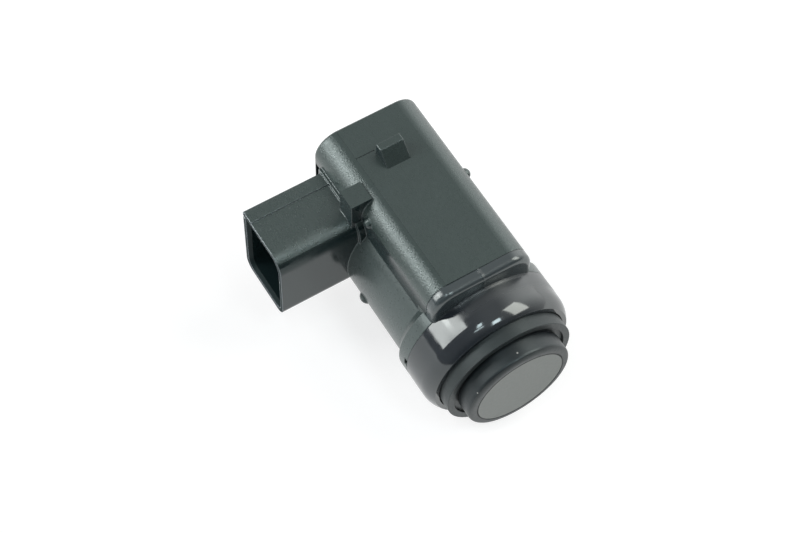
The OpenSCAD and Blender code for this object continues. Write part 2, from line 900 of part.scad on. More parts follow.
// Can capacitor on its square base
module storage_capacitor() {
    base_w = storage_d + 0.2;
    base_h = 0.8;
    can_h = 5.2;
    color([0.70, 0.71, 0.72])
        translate([storage_x, board_y0 + storage_d / 2 + 0.2, board_z + fit]) {
            translate([-base_w / 2, -base_w / 2, 0])
                cube([base_w, base_w, base_h]);
            cylinder(d = storage_d, h = can_h);
        }
}

// Two-ended chip part with metal caps, lying along X
module chip_part(x, y, size, cap, tint) {
    color(tint)
        translate([x, y, board_z + fit]) {
            translate([-size.x / 2, -size.y / 2 + 0.05, 0.05])
                cube([size.x, size.y - 0.1, size.z - 0.1]);
            for (side = [-1, 1])
                translate([side * (size.x - cap) / 2 - cap / 2, -size.y / 2, 0])
                    cube([cap, size.y, size.z]);
        }
}

// Capacitor that tunes the transducer
module tuning_capacitor() {
    chip_part(1.7, board_y0 + 1.6, [3.2, 1.6, 1.5], 0.5, [0.62, 0.50, 0.36]);
}

// Capacitor that filters the supply
module filter_capacitor() {
    chip_part(4.2, row_y, [2, 1.25, 1.2], 0.4, [0.62, 0.50, 0.36]);
}

// Resistor in the supply line
module input_resistor() {
    chip_part(0.6, row_y, [2, 1.25, 0.55], 0.4, [0.12, 0.12, 0.13]);
}

// Resistor across the transducer
module damping_resistor() {
    chip_part(-3.6, board_y1 - 1, [2, 1.25, 0.55], 0.4, [0.12, 0.12, 0.13]);
}

// Diode that protects the supply
module protection_diode() {
    chip_part(-3.4, row_y, [2.8, 1.6, 1.1], 0.4, [0.13, 0.13, 0.14]);
}

// Insert that carries the pins through the housing's wall
module terminal_carrier() {
    color([0.16, 0.16, 0.17])
        difference() {
            terminal_block(0);
            pin_holes(fit);
        }
}

// Supply terminal
module supply_pin() {
    color([0.78, 0.72, 0.50])
        pin(shroud_mid - pin_pitch);
}

// Bus terminal
module bus_pin() {
    color([0.78, 0.72, 0.50])
        pin(shroud_mid);
}

// Ground terminal
module ground_pin() {
    color([0.78, 0.72, 0.50])
        pin(shroud_mid + pin_pitch);
}

// Cast potting under the board
module potting_fill() {
    color([0.18, 0.17, 0.16])
        difference() {
            intersection() {
                cavity(fit);
                block([-barrel_r, cavity_y, -barrel_r],
                      [barrel_r, rear_y, board_z - board_t - fit]);
            }
            rails(fit);
            pin_holes(fit);
        }
}

housing();
rear_cover();
front_collar();
seal_ring();
membrane_sleeve();
membrane_pot();
piezo_disc();
absorber_disc();
pot_filler();
contact_carrier();
signal_lead();
ground_lead();
circuit_board();
control_chip();
transformer_core();
transformer_bobbin();
transformer_winding();
storage_capacitor();
tuning_capacitor();
filter_capacitor();
input_resistor();
damping_resistor();
protection_diode();
terminal_carrier();
supply_pin();
bus_pin();
ground_pin();
potting_fill();
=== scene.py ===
# %% [markdown]
# # A parking sensor under studio light
# The CAD model already holds every shape of this ultrasonic parking sensor, in metres, with the
# sensing face towards -Y, the flat top towards +Z and the plug connector towards -X.
# This lesson keeps that model as a fixed frame. It adds what a CAD model lacks: a camera, soft
# light, a finish for every surface and a few small marks of the moulding.

# %% Load the fixed frame
from math import pi

import bmesh
import bpy
from mathutils import Matrix, Vector


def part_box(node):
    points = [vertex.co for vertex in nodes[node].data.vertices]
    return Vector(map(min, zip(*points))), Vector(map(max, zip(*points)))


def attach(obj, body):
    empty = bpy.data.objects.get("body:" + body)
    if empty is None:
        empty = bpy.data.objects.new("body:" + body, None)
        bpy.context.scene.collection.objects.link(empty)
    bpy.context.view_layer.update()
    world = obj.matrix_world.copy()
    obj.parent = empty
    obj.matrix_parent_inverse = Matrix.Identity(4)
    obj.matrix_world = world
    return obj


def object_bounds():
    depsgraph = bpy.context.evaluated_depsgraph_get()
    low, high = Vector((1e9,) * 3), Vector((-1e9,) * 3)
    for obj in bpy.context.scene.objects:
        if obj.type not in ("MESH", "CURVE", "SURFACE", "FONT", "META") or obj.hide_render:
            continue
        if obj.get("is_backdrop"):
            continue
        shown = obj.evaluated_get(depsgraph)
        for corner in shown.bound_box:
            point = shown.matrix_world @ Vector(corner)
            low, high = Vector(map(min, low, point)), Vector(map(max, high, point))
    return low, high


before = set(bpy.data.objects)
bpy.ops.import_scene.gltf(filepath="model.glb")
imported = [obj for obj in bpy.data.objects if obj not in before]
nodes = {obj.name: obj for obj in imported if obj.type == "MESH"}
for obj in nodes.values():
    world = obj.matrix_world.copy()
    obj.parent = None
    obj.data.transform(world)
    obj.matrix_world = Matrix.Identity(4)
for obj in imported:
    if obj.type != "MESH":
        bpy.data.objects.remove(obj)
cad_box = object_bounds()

MM = 0.001
scene = bpy.context.scene
scene.view_settings.view_transform = "Standard"
sides = [round((high - low) / MM, 1) for low, high in zip(*cad_box)]
print("CAD pieces:", len(nodes), "size in mm:", sides)

# %% [markdown]
# ## The camera
# The photograph looks down on the flat top from the front left. A long lens keeps the connector
# and the face nearly parallel. The place and the turn come from fitting known circles and edges
# of the sensor to the picture, so they are written as numbers and not aimed by eye.

# %% Camera at the photograph's angle
FITTED_PLACE = (-0.08881, -0.10348, 0.26289)
FITTED_TURN = (0.52518, -0.02017, -0.5514)
lens = bpy.data.cameras.new("studio_camera")
lens.lens = 90
lens.sensor_width = 36
lens.dof.use_dof = False
camera = bpy.data.objects.new("studio_camera", lens)
camera.location = FITTED_PLACE
camera.rotation_euler = FITTED_TURN
scene.collection.objects.link(camera)
scene.camera = camera
sight = camera.rotation_euler.to_matrix() @ Vector((0, 0, -1))
print("camera looks along", [round(v, 3) for v in sight])

# %% [markdown]
# ## Joining shader nodes
# In the editor a material is drawn by joining nodes with lines. In a script every node and every
# line is a call of its own, which soon hides what is being made. So one helper adds a node, sets
# its values and draws its lines. A second one tells the rays that look at a surface, straight or
# in a mirror, from those that carry scattered light.


# %% Helpers for joining shader nodes
def join(tree, kind, inputs=None, **settings):
    """Adds a node; an input that is a socket is linked, anything else is set."""
    made = tree.nodes.new("ShaderNode" + kind)
    for key, value in settings.items():
        setattr(made, key, value)
    for key, value in (inputs or {}).items():
        if isinstance(value, bpy.types.NodeSocket):
            tree.links.new(value, made.inputs[key])
        else:
            made.inputs[key].default_value = value
    return made


def seen_directly(tree):
    """1 for rays from the camera, from a mirror or through glass, else 0."""
    rays = join(tree, "LightPath").outputs
    seen = rays["Is Camera Ray"]
    for kind in ("Is Glossy Ray", "Is Transmission Ray"):
        seen = join(tree, "Math", {0: seen, 1: rays[kind]}, operation="MAXIMUM").outputs[0]
    return seen


print("helpers for shader nodes:", join.__name__, "and", seen_directly.__name__)

# %% [markdown]
# ## The table
# Black plastic has little colour of its own: what one sees is mostly what it mirrors. So the white
# table matters as much as the lamps. It could be a lit white plane alone, but then a white that
# clips needs too much light. Here the rays that look at it straight or in a mirror get a little
# glow on top of the lit surface, and the rays that carry its bounce see a plain white plane.
# The object's shadow stays, because only part of the white is glow.

# %% Floor under the lowest point
TABLE_HALF = 3
floor_z = cad_box[0].z
shape = bmesh.new()
bmesh.ops.create_grid(shape, x_segments=1, y_segments=1, size=TABLE_HALF)
bmesh.ops.translate(shape, verts=shape.verts, vec=(0, 0, floor_z))
table_mesh = bpy.data.meshes.new("studio_table")
shape.to_mesh(table_mesh)
shape.free()
table = bpy.data.objects.new("studio_table", table_mesh)
scene.collection.objects.link(table)
table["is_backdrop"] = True
print("table at z =", round(floor_z / MM, 2), "mm")

# %% White that glows where it is looked at
BOUNCE_WHITE = (0.8, 0.8, 0.8, 1)
LIT_GREY = (0.4, 0.4, 0.4, 1)
GLOW = {"From Min": -0.06, "From Max": 0.16, "To Min": 0.55, "To Max": 1.1}
white = bpy.data.materials.new("white_table")
white.use_nodes = True
tree = white.node_tree
tree.nodes.clear()
table_x = join(tree, "SeparateXYZ", {0: join(tree, "TexCoord").outputs["Object"]}).outputs["X"]
# The glow rises from left to right: painted light, as if the right softbox lit the table's right
# side.
brighter = join(tree, "MapRange", {"Value": table_x, **GLOW}).outputs[0]
glow = join(tree, "Emission", {"Color": (1, 1, 1, 1), "Strength": brighter})
lit = join(tree, "BsdfDiffuse", {"Color": LIT_GREY})
shown = join(tree, "AddShader", {0: lit.outputs[0], 1: glow.outputs[0]})
bounce = join(tree, "BsdfDiffuse", {"Color": BOUNCE_WHITE})
either = {0: seen_directly(tree), 1: bounce.outputs[0], 2: shown.outputs[0]}
join(tree, "OutputMaterial", {"Surface": join(tree, "MixShader", either).outputs[0]})
table_mesh.materials.append(white)
print("table glows from", GLOW["To Min"], "on the left to", GLOW["To Max"], "on the right")

# %% [markdown]
# ## The room
# What a glossy collar mirrors can be read off the photograph: each of its points shows the room in
# one known direction. The room is dim on the left, paler overhead, dark behind the camera, and
# its right side is a bright wall that grows brighter towards the back. A few gradients along X and
# Y give that, which needs no modelled walls. Scattered light sees only an even fill, and the
# camera itself sees plain white. Mirrors go on seeing the dim room: an all-white one would turn
# the black collar grey.


# %% A soft gradient between two places
def gradient(tree, value, low, high, to_low, to_high):
    """A level that runs from one value to another between two places, softly."""
    ends = {"Value": value, "From Min": low, "From Max": high}
    ends.update({"To Min": to_low, "To Max": to_high})
    return join(tree, "MapRange", ends, interpolation_type="SMOOTHSTEP").outputs[0]


print("helper for the room:", gradient.__name__)

# %% World: a dim left, a pale ceiling, a bright right wall
DIM_LEFT, PALE_CEILING = 0.24, 0.52
WALL_FRONT, WALL_BACK = 0.6, 2.0
BEHIND_CAMERA = 0.3
EVEN_FILL = 0.26
room = bpy.data.worlds.new("studio_room")
room.use_nodes = True
scene.world = room
tree = room.node_tree
tree.nodes.clear()
way = join(tree, "SeparateXYZ", {0: join(tree, "TexCoord").outputs["Generated"]}).outputs
ceiling = gradient(tree, way["X"], -0.75, 0.2, DIM_LEFT, PALE_CEILING)
right_wall = gradient(tree, way["Y"], -0.6, 0.45, WALL_FRONT, WALL_BACK)
wall_share = gradient(tree, way["X"], 0.3, 0.9, 0.0, 1.0)
around = join(tree, "Mix", {0: wall_share, 2: ceiling, 3: right_wall}).outputs[0]
dark_front = gradient(tree, way["Y"], -0.75, -0.35, BEHIND_CAMERA, 1.0)
mirrored = join(tree, "Math", {0: around, 1: dark_front}, operation="MULTIPLY").outputs[0]
level = join(tree, "Mix", {0: seen_directly(tree), 2: EVEN_FILL, 3: mirrored}).outputs[0]
by_camera = join(tree, "LightPath").outputs["Is Camera Ray"]
level = join(tree, "Mix", {0: by_camera, 2: level, 3: 1.0}).outputs[0]
air = join(tree, "Background", {"Color": (1, 1, 1, 1), "Strength": level})
join(tree, "OutputWorld", {"Surface": air.outputs[0]})
print(f"room: left {DIM_LEFT}, ceiling {PALE_CEILING}, wall to {WALL_BACK}, fill {EVEN_FILL}")

# %% [markdown]
# ## The lamps
# The highlights on the glossy collar tell where the lamps stood: mirror the line of sight in the
# collar's known curve, and it points at the lamp. Two softboxes come out, one behind on the left
# with a brighter band across it and one on the right, and three small strips overhead. A card low
# on the left brightens the side that the connector shades. It only lights, and no mirror shows it.
# Each is an area lamp. Its power follows from the brightness its surface should show.

# %% A lamp of a given brightness
middle = (cad_box[0] + cad_box[1]) / 2


def softbox(name, towards, upright, size, brightness, tint=(1, 1, 1), away=1.0, mirrored=True):
    """A flat lamp that faces the sensor; its size is in metres at one metre away."""
    face = bpy.data.lights.new(name, "AREA")
    face.shape = "RECTANGLE"
    face.size, face.size_y = (extent * away for extent in size)
    face.energy = brightness * pi * face.size * face.size_y
    face.color = tint
    back = Vector(towards).normalized()
    side = Vector(upright).cross(back).normalized()
    turn = Matrix((side, back.cross(side), back)).transposed()
    lamp = bpy.data.objects.new(name, face)
    lamp.matrix_world = Matrix.Translation(middle + back * away) @ turn.to_4x4()
    lamp.visible_camera = False
    lamp.visible_glossy = mirrored
    scene.collection.objects.link(lamp)
    print(f"{name}: {face.energy:.2f} W, brightness {brightness}")


print("lamps face the sensor's middle, mm:", [round(v / MM, 1) for v in middle])

# %% Lamps from the mirrored directions
COOL = (0.82, 0.95, 1.0)
WARM = (1.0, 0.99, 0.94)
LEFT_TILT = (0.602, 0, 0.799)
softbox("left_softbox", (-0.678, 0.528, 0.511), LEFT_TILT, (0.46, 0.8), 5.8)
softbox("left_core", (-0.629, 0.555, 0.546), LEFT_TILT, (0.42, 0.12), 5, away=0.97)
softbox("right_softbox", (0.644, -0.198, 0.74), (-0.23, 0.86, 0.46), (0.44, 0.7), 4.6, WARM)
softbox("strip_lamp", (-0.26, -0.09, 0.962), (0.13, 0.98, 0.13), (0.12, 0.2), 8, COOL)
softbox("strip_end", (-0.3, -0.28, 0.912), (0.1, 0.95, 0.3), (0.24, 0.07), 6, COOL)
softbox("short_strip", (0.13, -0.45, 0.883), (0, 0.89, 0.45), (0.2, 0.22), 9, COOL)
softbox("left_card", (-0.97, 0.0, 0.24), (0, 0, 1), (0.6, 0.4), 6, mirrored=False)

# %% [markdown]
# ## How a finish is wired
# A finish here is one Principled shader fed by noise and masks. What is the same all over a
# surface is set on the shader itself, and only what varies is wired. A small class keeps the
# material and its nodes together, so that a finish reads as a list of what it does.


# %% The shader and its wiring
class Wiring:
    """A Principled material whose nodes read Object coordinates."""

    def __init__(self, name, sockets):
        self.material = bpy.data.materials.new(name)
        self.material.use_nodes = True
        self.tree = self.material.node_tree
        self.shader = self.tree.nodes["Principled BSDF"]
        for socket, value in sockets.items():
            self.shader.inputs[socket].default_value = value
        self.place = self.node("TexCoord").outputs["Object"]

    def node(self, kind, inputs=None, **settings):
        return join(self.tree, kind, inputs, **settings)

    def calc(self, operation, a, b=0.0):
        return self.node("Math", {0: a, 1: b}, operation=operation).outputs[0]

    def vector(self, operation, a, b=(0, 0, 0)):
        return self.node("VectorMath", {0: a, 1: b}, operation=operation).outputs

    def remap(self, value, low, high, to_low=0.0, to_high=1.0):
        """A value taken from one range to another, and held at its ends."""
        ends = {"Value": value, "From Min": low, "From Max": high}
        ends.update({"To Min": to_low, "To Max": to_high})
        return self.node("MapRange", ends).outputs["Result"]

    def fade(self, value, start, stop):
        """0 up to one place and 1 from another, in millimetres."""
        return self.remap(value, start * MM, stop * MM)

    def between(self, amount, first, second):
        """A number between two others."""
        return self.node("Mix", {0: amount, 2: first, 3: second}).outputs[0]

    def colours(self, amount, first, second):
        """A colour between two others, each a socket or three numbers."""
        ends = {0: amount}
        for key, colour in ((6, first), (7, second)):
            wired = isinstance(colour, bpy.types.NodeSocket)
            ends[key] = colour if wired else (*colour, 1)
        return self.node("Mix", ends, data_type="RGBA").outputs[2]

    def use(self, **sockets):
        for socket, value in sockets.items():
            self.tree.links.new(value, self.shader.inputs[socket.replace("_", " ")])


print("wiring is ready:", Wiring.__doc__)

# %% [markdown]
# ## What a finish is made of
# The patterns read the piece's own coordinates in metres, so a grain of 0.2 mm is a noise scale of
# 5000, and it stays on the piece wherever that goes. Moulded edges are never quite sharp. Bevels
# cut into a shell this detailed would need a clean mesh, so the Bevel node bends the normal near
# an edge instead, and where it does so gives a mask for wear and for painted edge highlights. Grain
# is a bump on top of that.

# %% Noise, distances, edges and relief
NOISE_LOW, NOISE_HIGH = 0.3, 0.7


class Finish(Wiring):
    """Wiring with the patterns that moulded, cast and turned surfaces need."""

    def clouds(self, size, detail=2.0, stretch=(1, 1, 1)):
        """Soft noise with lumps of about that many millimetres."""
        where = self.vector("MULTIPLY", self.place, stretch)[0]
        inputs = {"Vector": where, "Scale": 1 / (size * MM), "Detail": detail}
        return self.node("TexNoise", inputs).outputs["Fac"]

    def drifting(self, low, high, size, detail=3):
        """A number that drifts between two, over lumps of about that many millimetres."""
        return self.remap(self.clouds(size, detail), NOISE_LOW, NOISE_HIGH, low, high)

    def axis(self, letter):
        return self.node("SeparateXYZ", {0: self.place}).outputs[letter]

    def from_axis(self):
        """Distance from the sensing axis."""
        return self.vector("LENGTH", self.vector("MULTIPLY", self.place, (1, 0, 1))[0])["Value"]

    def own_normal(self):
        return self.node("NewGeometry").outputs["Normal"]

    def rolled(self, radius):
        """A normal that rolls over sharp edges."""
        return self.node("Bevel", {"Radius": radius * MM}, samples=6).outputs["Normal"]

    def edges(self, rolled):
        """Mask of where a rolled normal leaves the surface's own."""
        same = self.vector("DOT_PRODUCT", rolled, self.own_normal())["Value"]
        return self.remap(same, 0.99, 0.9)

    def normals(self, amount, first, second):
        """A normal between two others."""
        ends = {0: amount, 4: first, 5: second}
        return self.node("Mix", ends, data_type="VECTOR").outputs[1]

    def leaning(self, amount):
        """The surface's normal, leaned towards the sensing face, as on a moulding with draft."""
        lean = self.node("CombineXYZ", {"Y": self.calc("MULTIPLY", amount, -1.0)}).outputs[0]
        return self.vector("NORMALIZE", self.vector("ADD", self.own_normal(), lean)[0])[0]

    def relief(self, height, depth, normal=None, strength=1.0):
        """A bump of that many millimetres on a normal."""
        inputs = {"Height": height, "Distance": depth * MM, "Strength": strength}
        if normal is not None:
            inputs["Normal"] = normal
        return self.node("Bump", inputs).outputs["Normal"]


print("finishes are ready:", Finish.__doc__)


# %% Dressing a CAD piece
def dress(finish, *names):
    """Puts a finish on CAD nodes in place of their plain colour."""
    for name in names:
        nodes[name].data.materials.clear()
        nodes[name].data.materials.append(finish.material)
    print(finish.material.name, "on", ", ".join(names))


print("finishes to make for", len(nodes), "CAD pieces")

# %% [markdown]
# ## The housing: grained on top, smooth below
# One moulding has several finishes, because the mould was etched where the part faces up, and
# polished on the barrel and on the steep walls. Separate materials would need seams in the mesh.
# Masks are simpler: a measure such as the distance from the sensing axis, held to a span, finds
# the barrel, the flange, the socket and the flat top.

# %% Masks from spans of a measure
shell = Finish("moulded_shell", {"Specular Tint": (0.88, 1.0, 0.985, 1)})
measures = {"reach": shell.from_axis()}
measures.update(across=shell.axis("X"), length=shell.axis("Y"), height=shell.axis("Z"))


def both(first, second):
    return shell.calc("MULTIPLY", first, second)


def either_of(first, second):
    return shell.calc("MAXIMUM", first, second)


def outside(mask):
    return shell.calc("SUBTRACT", 1.0, mask)


def span(measure, centre, half, fade=0.08):
    """Mask of where a measure is close to a centre, all in millimetres."""
    off = shell.calc("ABSOLUTE", shell.calc("SUBTRACT", measures[measure], centre * MM))
    return shell.remap(off, half * MM, (half + fade) * MM, 1, 0)


print("the shell is masked by", ", ".join(measures))

# %% Where the barrel, the socket and the flat top lie
on_barrel = both(span("reach", 0, 11.5), span("length", 14, 14.35))
on_flange = both(span("reach", 0, 12.45), span("length", 10, 2.25))
barrel = either_of(on_barrel, on_flange)
socket_wide, socket_high = span("length", 32.85, 4.75), span("height", 3, 6.6)
in_socket = both(both(socket_wide, socket_high), span("across", -17, 7.5))
on_top = span("height", 15.17, 0.08)
front_corner = both(span("length", 29, 2.4, 1.5), span("height", 5.5, 5, 1))
shroud_front = both(front_corner, span("across", -17, 3.4, 1))
print("nodes in the shell's masks:", len(shell.tree.nodes))

# %% [markdown]
# ### Etched or polished, and rolled edges
# The direction a surface faces tells the etched top from the polished walls, and slopes that face
# the front count as walls sooner. Edges are rolled by 0.22 mm, and the shroud's front corner by
# 2.4 mm, because the photograph shows a wide, soft light there. The flat panel on the top keeps
# its crisp step.

# %% Etched where it faces up, rolled along the edges
EDGE_ROLL, CORNER_ROLL = 0.22, 2.4
FRONT_SHARE = 0.85
facing = shell.node("SeparateXYZ", {0: shell.own_normal()}).outputs
forward = shell.calc("MINIMUM", facing["Y"], 0.0)
upward = shell.calc("ADD", facing["Z"], shell.calc("MULTIPLY", forward, FRONT_SHARE))
mouth = both(span("across", -22.3, 0.8), shell.remap(facing["X"], -0.25, -0.35))
smooth = either_of(barrel, either_of(in_socket, mouth))
etched = both(shell.remap(upward, 0.0, 0.12), outside(smooth))
rolled = shell.rolled(EDGE_ROLL)
edge = both(shell.edges(rolled), outside(either_of(on_top, barrel)))
rounded = shell.normals(on_top, rolled, shell.own_normal())
rounded = shell.normals(shroud_front, rounded, shell.rolled(CORNER_ROLL))
print("edges rolled by", EDGE_ROLL, "mm, the shroud's front corner by", CORNER_ROLL, "mm")

# %% [markdown]
# ### Colour, gloss and grain of the shell
# Black plastic is a dark grey with a trace of green. The etched top scatters more light than the
# polished walls. The edges are lighter and shinier, partly from wear by handling and partly as a
# painted highlight. The rim of the socket's mouth gets a painted pale highlight line. The grain is
# fine noise, finer still above the panel's step, and it stops short of the edges and of the
# shroud's root.

# %% Colours from the masks
WALL_BLACK, BARREL_GREY = (0.007, 0.014, 0.015), (0.038, 0.050, 0.049)
TOP_DARK, TOP_LIGHT = (0.016, 0.026, 0.024), (0.023, 0.035, 0.033)
WORN_AND_HIGHLIT_EDGE, PAINTED_RIM_HIGHLIGHT = (0.16, 0.18, 0.185), (0.29, 0.32, 0.35)
WEAR_AND_HIGHLIGHT, RIM_HIGHLIGHT_STRENGTH = 0.35, 0.8
walls = shell.colours(barrel, WALL_BLACK, BARREL_GREY)
top_grey = shell.colours(shell.clouds(5, 3), TOP_DARK, TOP_LIGHT)
body = shell.colours(etched, walls, top_grey)
# Lighter edges: partly wear, partly a painted highlight where the lamps would catch them.
body = shell.colours(both(edge, WEAR_AND_HIGHLIGHT), body, WORN_AND_HIGHLIT_EDGE)
# A painted pale highlight along the rim of the socket's mouth.
rim_highlight_line = both(edge, span("across", -22.9, 0.2))
body = shell.colours(both(rim_highlight_line, RIM_HIGHLIGHT_STRENGTH), body, PAINTED_RIM_HIGHLIGHT)
print("shell colours from", WALL_BLACK, "to", TOP_LIGHT)

# %% Gloss and grain
WALL_ROUGH, SATIN_ROUGH, MOUTH_ROUGH = 0.16, 0.29, 0.62
WALL_GLEAM, TOP_GLEAM, BARREL_EXTRA, MOUTH_SHARE = 0.5, 1.0, 0.25, 0.3
DRIFT, EDGE_SHINE = 0.03, 0.14
GRAIN_SIZE, GRAIN_DEPTH = 0.18, 0.058
PANEL_FOOT, PANEL_TOP = 15.0 * MM, 15.1 * MM
drift = shell.drifting(-DRIFT, DRIFT, 0.6)
satin = shell.remap(either_of(etched, barrel), 0, 1, WALL_ROUGH, SATIN_ROUGH)
rough = shell.between(mouth, shell.calc("ADD", satin, drift), MOUTH_ROUGH)
gleam = shell.remap(etched, 0, 1, WALL_GLEAM, TOP_GLEAM)
gleam = shell.calc("ADD", gleam, both(barrel, BARREL_EXTRA))
finer_above = shell.remap(measures["height"], PANEL_FOOT, PANEL_TOP, 1, 0.3)
plain_edge = either_of(edge, span("across", -9.15, 0.3))
grain = both(both(etched, finer_above), outside(plain_edge))
shell.use(
    Base_Color=body,
    Specular_IOR_Level=both(gleam, shell.remap(mouth, 0, 1, 1, MOUTH_SHARE)),
    Roughness=shell.calc("SUBTRACT", rough, both(edge, EDGE_SHINE)),
    Normal=shell.relief(shell.clouds(GRAIN_SIZE, 2), GRAIN_DEPTH, rounded, grain),
)
dress(shell, "housing")

# %% [markdown]
# ## The collar: polished black, satin lip
# The collar comes from a polished mould, so it mirrors the softboxes sharply. A mirror finish with
# nothing on it looks like glass, so the roughness drifts a little, and a very shallow, wide bump
# bends the reflections as a real moulding does. The lip in front of the box is duller: it
# lies outside the collar's radius, which again gives a mask. Where the collar runs into the lip
# its edge is a wide fillet, and the polish fades there.

# %% Polished collar
CRISP, FILLET, LIP_EASE = 0.1, 0.9, 0.45
FADED_POLISH, LIP_ROUGH = 0.3, 0.18
POLISH_DARK, POLISH_LIGHT = (0.008, 0.011, 0.015), (0.012, 0.016, 0.021)
LIP_BLACK = (0.030, 0.040, 0.044)
LIP_FROM, FILLET_BEHIND, FILLET_RIGHT_OF = (12.46, 12.54), (5.4, 6.2), (-6, -4)
gloss = Finish(
    "polished_collar", {"Specular IOR Level": 1.0, "Specular Tint": (0.95, 1.0, 0.98, 1)}
)
lip = gloss.fade(gloss.from_axis(), *LIP_FROM)
behind = gloss.fade(gloss.axis("Y"), *FILLET_BEHIND)
beside_lip = gloss.calc("MULTIPLY", behind, gloss.fade(gloss.axis("X"), *FILLET_RIGHT_OF))
collar_edge = gloss.normals(beside_lip, gloss.rolled(CRISP), gloss.rolled(FILLET))
collar_edge = gloss.normals(lip, collar_edge, gloss.rolled(LIP_EASE))
polish = gloss.colours(gloss.clouds(3), POLISH_DARK, POLISH_LIGHT)
mirror = gloss.remap(gloss.clouds(1.2, 4), 0.3, 0.75, 0.08, 0.14)
mirror = gloss.between(beside_lip, mirror, FADED_POLISH)
gloss.use(
    Base_Color=gloss.colours(lip, polish, LIP_BLACK),
    Roughness=gloss.between(lip, mirror, LIP_ROUGH),
    Normal=gloss.relief(gloss.clouds(4, 1), 0.004, collar_edge),
)
dress(gloss, "front_collar")

# %% [markdown]
# ## The rubber rings
# The seal ring and the silicone sleeve are satin: they blur a softbox to a glow. Rubber also
# gathers dust, which shows as a few pale specks. The specks are the centres of scattered cells,
# kept only where a cell's own random value is high, so that they stay few. Painted specks would
# need a picture, and cells need none. The sides are moulded with a trace of draft. It is too little
# to model, so it is added to the normal.

# %% Satin rubber with a little dust
DUST = (0.42, 0.42, 0.40)


def rubber(name, dark, light, roughness, cell, edge_at):
    """Draft leans the sides forward a little, and from the front edge on they count as the face."""
    made = Finish(name, {"Specular IOR Level": 0.55, "Specular Tint": (0.88, 1.0, 1.0, 1)})
    lean = made.remap(made.axis("Y"), edge_at * MM, (edge_at - 0.1) * MM, 0.08, 2.0)
    spots = made.node("TexVoronoi", {"Vector": made.place, "Scale": 1 / (cell * MM)}).outputs
    speck = made.remap(spots["Distance"], 0.03, 0.075, 1, 0)
    chance = made.node("SeparateColor", {0: spots["Color"]}).outputs[0]
    dust = made.calc("MULTIPLY", speck, made.remap(chance, 0.8, 0.82))
    skin = made.colours(made.clouds(2, 3), dark, light)
    made.use(
        Base_Color=made.colours(dust, skin, DUST),
        Roughness=made.drifting(roughness - 0.04, roughness + 0.06, 0.4),
        Normal=made.relief(made.clouds(0.2, 3), 0.004, made.leaning(lean)),
    )
    return made


print("dust is", DUST)

# %% Seal ring and sleeve
RING_DARK, RING_LIGHT = (0.009, 0.012, 0.013), (0.016, 0.020, 0.021)
SLEEVE_DARK, SLEEVE_LIGHT = (0.004, 0.006, 0.008), (0.009, 0.012, 0.014)
seal = rubber("satin_rubber", RING_DARK, RING_LIGHT, 0.43, 2.1, 0.1)
silicone = rubber("satin_silicone", SLEEVE_DARK, SLEEVE_LIGHT, 0.38, 2.4, -2.55)
dress(seal, "seal_ring")
dress(silicone, "membrane_sleeve")

# %% [markdown]
# ## The sensing face
# The face is the floor of an aluminium pot, sprayed with matte grey primer so that it can be
# painted with the bumper. A thin dark ring is painted round the rim of the face, as painted shade
# for the groove beside the sleeve. Inside, the pot is bare metal, so metal and paint are mixed by
# the distance from the front.

# %% Primed membrane
SPRAY_DARK, SPRAY_LIGHT = (0.200, 0.213, 0.203), (0.230, 0.243, 0.232)
GROOVE_SHADE_DARK, BARE_METAL = (0.014, 0.016, 0.017), (0.62, 0.63, 0.64)
SHADE_RING_RADII, METAL_BEHIND = (7.3, 7.36), (-2.85, -2.75)
primer = Finish("primed_membrane", {"IOR": 1.45})
groove_shade_ring = primer.fade(primer.from_axis(), *SHADE_RING_RADII)
bare = primer.fade(primer.axis("Y"), *METAL_BEHIND)
spray = primer.colours(primer.clouds(0.25, 4), SPRAY_DARK, SPRAY_LIGHT)
# The face's rim turns dark: painted shade for the groove next to the sleeve.
face = primer.colours(groove_shade_ring, spray, GROOVE_SHADE_DARK)
primer.use(
    Base_Color=primer.colours(bare, face, BARE_METAL),
    Metallic=bare,
    Roughness=primer.drifting(0.5, 0.6, 0.6),
    Normal=primer.relief(primer.clouds(0.15, 3), 0.002),
)
dress(primer, "membrane_pot")

# %% [markdown]
# ## The pins
# The tinned pins sit deep in the socket, so only their tips catch light. Their fine lines run
# along X, the way the strip was drawn. A picture of brushed metal could give them, but noise that
# is stretched in one direction does the same on any face.

# %% Tinned pins
ALONG_X = (0.05, 1, 1)
TIN_DARK, TIN_LIGHT = (0.58, 0.55, 0.47), (0.70, 0.68, 0.62)
tin = Finish("tinned_pin", {"Metallic": 1.0})
lines = tin.clouds(0.08, 2, ALONG_X)
tin.use(
    Base_Color=tin.colours(tin.clouds(0.8, 3), TIN_DARK, TIN_LIGHT),
    Roughness=tin.remap(lines, NOISE_LOW, NOISE_HIGH, 0.2, 0.36),
    Normal=tin.relief(lines, 0.002, tin.rolled(0.06)),
)
dress(tin, "supply_pin", "bus_pin", "ground_pin")

# %% [markdown]
# ## The insert and the cover
# The insert that holds the pins and the cover at the rear are plain mouldings with a coarser grain
# than the box. Each could have a finish written out like the shell's, but they differ only in
# colour, gloss and grain, so one function takes those and makes them all.


# %% Plain mouldings
def moulding(name, dark, light, roughness, grain, depth):
    """A plain moulded, cast or fired finish: mottled colour, grain and a drift of gloss."""
    made = Finish(name, {})
    made.use(
        Base_Color=made.colours(made.clouds(grain * 12, 3), dark, light),
        Roughness=made.drifting(roughness - 0.05, roughness + 0.05, grain * 3),
        Normal=made.relief(made.clouds(grain, 3), depth, made.rolled(0.1)),
    )
    return made


